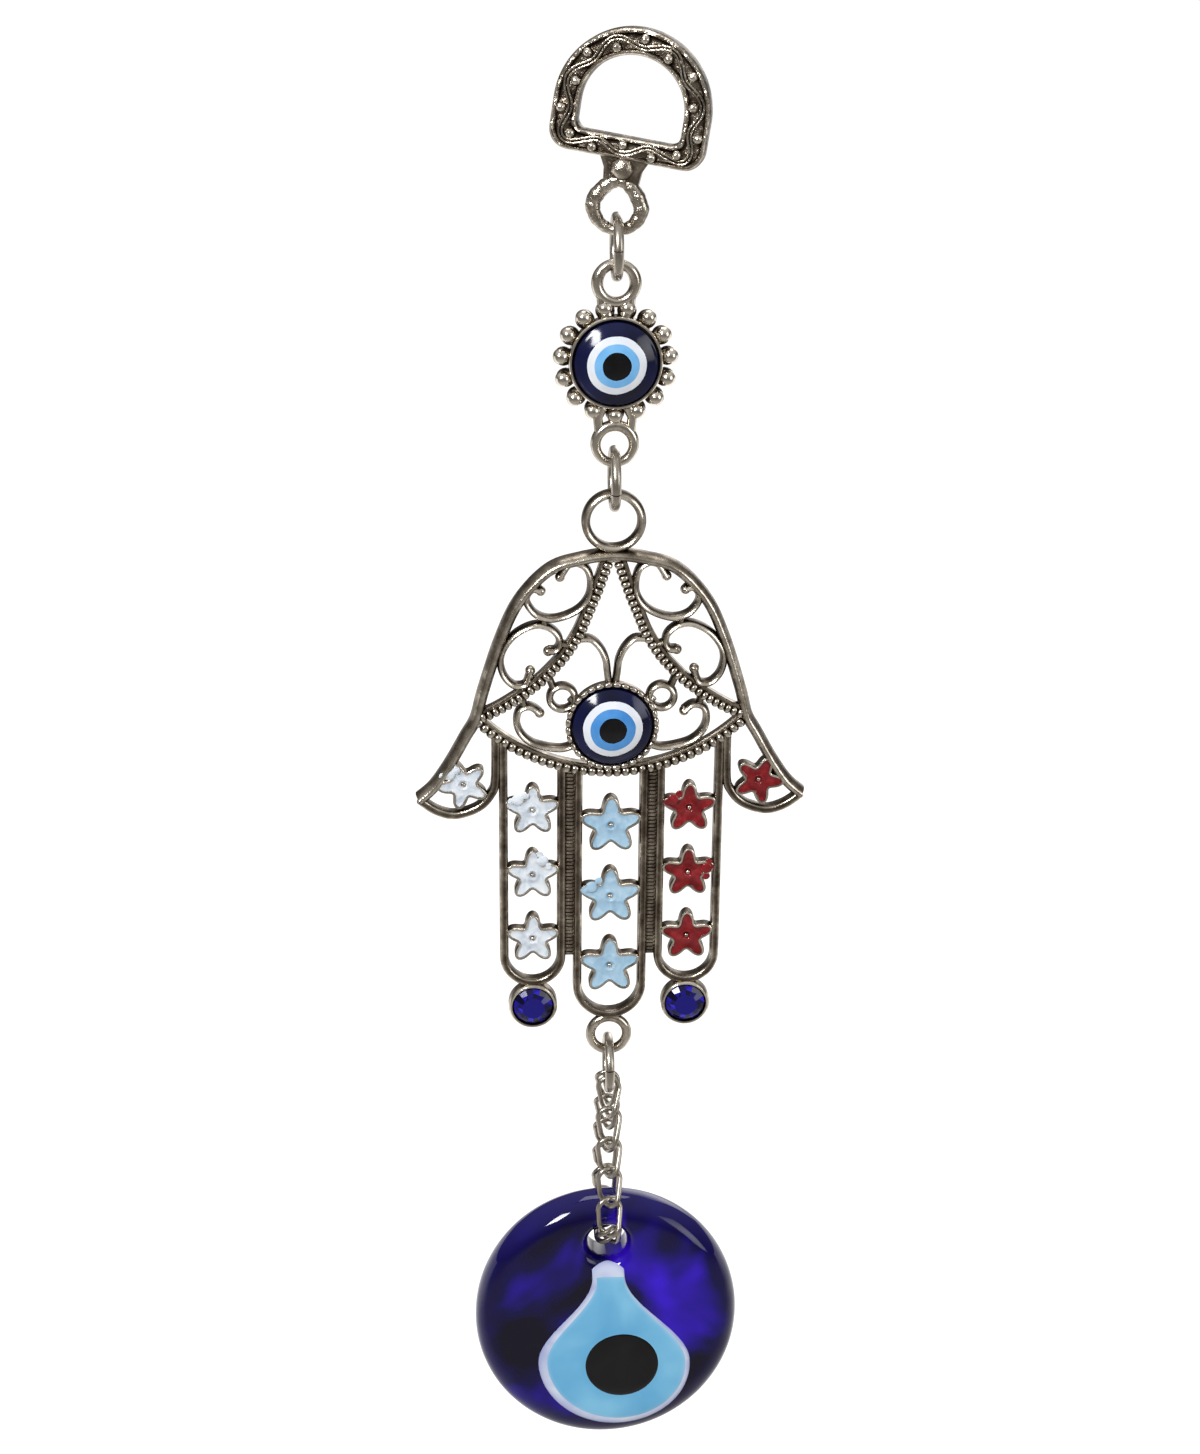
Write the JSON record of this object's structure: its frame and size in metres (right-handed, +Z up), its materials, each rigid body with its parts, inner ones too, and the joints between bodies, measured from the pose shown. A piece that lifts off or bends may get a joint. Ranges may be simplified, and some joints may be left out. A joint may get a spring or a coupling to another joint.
{
  "type": "evil eye wall hanging",
  "caption": "Wall hanging talisman: a cast hanger, an eye connector, a hamsa hand with enamelled stars and a glass eye disc, linked by jump rings and a loop of chain.",
  "frame": {"origin": "where the nail carries the hanger, at the top of its opening", "axes": "+Z up, -Y towards the viewer, +X to the viewer's right; the wall is on the +Y side"},
  "size_m": [0.06, 0.015, 0.2318],
  "materials": {
    "antique_nickel": "antique nickel plate, darkened in the hollows",
    "plated_wire": "bright nickel-plated wire",
    "navy_resin": "glossy cast resin",
    "white_resin": "glossy cast resin",
    "sky_resin": "glossy cast resin",
    "black_resin": "glossy cast resin",
    "white_enamel": "glossy cold enamel",
    "blue_enamel": "glossy cold enamel",
    "red_enamel": "glossy cold enamel",
    "sapphire_stone": "faceted glass stone",
    "cobalt_glass": "fire-polished cobalt glass",
    "milk_glass": "opaque white glass",
    "turquoise_glass": "opaque light blue glass",
    "jet_glass": "opaque black glass"
  },
  "bodies": {
    "hanger": {"hanger": "antique_nickel"},
    "upper_ring": {"jump_ring_upper": "plated_wire"},
    "connector": {"connector_eye_iris": "sky_resin", "connector_eye_navy": "navy_resin", "connector_eye_pupil": "black_resin", "connector_eye_white": "white_resin", "eye_connector": "antique_nickel"},
    "middle_ring": {"jump_ring_middle": "plated_wire"},
    "hamsa": {"blue_star_1": "blue_enamel", "blue_star_2": "blue_enamel", "blue_star_3": "blue_enamel", "hamsa_casting": "antique_nickel", "hamsa_eye_iris": "sky_resin", "hamsa_eye_navy": "navy_resin", "hamsa_eye_pupil": "black_resin", "hamsa_eye_white": "white_resin", "left_rhinestone": "sapphire_stone", "red_star_1": "red_enamel", "red_star_2": "red_enamel", "red_star_3": "red_enamel", "red_thumb_star": "red_enamel", "right_rhinestone": "sapphire_stone", "white_star_1": "white_enamel", "white_star_2": "white_enamel", "white_star_3": "white_enamel", "white_thumb_star": "white_enamel"},
    "lower_ring": {"jump_ring_lower": "plated_wire"},
    "chain": {"chain_link_01": "plated_wire", "chain_link_02": "plated_wire", "chain_link_03": "plated_wire", "chain_link_04": "plated_wire", "chain_link_05": "plated_wire", "chain_link_06": "plated_wire", "chain_link_07": "plated_wire", "chain_link_08": "plated_wire", "chain_link_09": "plated_wire", "chain_link_10": "plated_wire", "chain_link_11": "plated_wire", "chain_link_12": "plated_wire", "chain_link_13": "plated_wire"},
    "glass": {"glass_disc": "cobalt_glass", "glass_drop_blue": "turquoise_glass", "glass_drop_white": "milk_glass", "glass_pupil": "jet_glass"}
  },
  "joints": [
    {"name": "upper_ring_swing", "type": "hinge", "parent": "hanger", "child": "upper_ring", "pos_m": [0, 0, -0.02388], "axis": [1, 0, 0], "range_deg": [-60, 60]},
    {"name": "connector_swing", "type": "hinge", "parent": "upper_ring", "child": "connector", "pos_m": [0, 0, -0.03038], "axis": [0, 1, 0], "range_deg": [-60, 60]},
    {"name": "middle_ring_swing", "type": "hinge", "parent": "connector", "child": "middle_ring", "pos_m": [0, 0, -0.05778], "axis": [1, 0, 0], "range_deg": [-60, 60]},
    {"name": "hamsa_swing", "type": "hinge", "parent": "middle_ring", "child": "hamsa", "pos_m": [0, 0, -0.06433], "axis": [0, 1, 0], "range_deg": [-60, 60]},
    {"name": "lower_ring_swing", "type": "hinge", "parent": "hamsa", "child": "lower_ring", "pos_m": [0, 0, -0.15486], "axis": [1, 0, 0], "range_deg": [-60, 60]},
    {"name": "chain_swing", "type": "hinge", "parent": "lower_ring", "child": "chain", "pos_m": [0, 0, -0.16141], "axis": [0, 1, 0], "range_deg": [-50, 50]},
    {"name": "glass_swing", "type": "hinge", "parent": "chain", "child": "glass", "pos_m": [0, 0, -0.18945], "axis": [0, 1, 0], "range_deg": [-50, 50]}
  ]
}
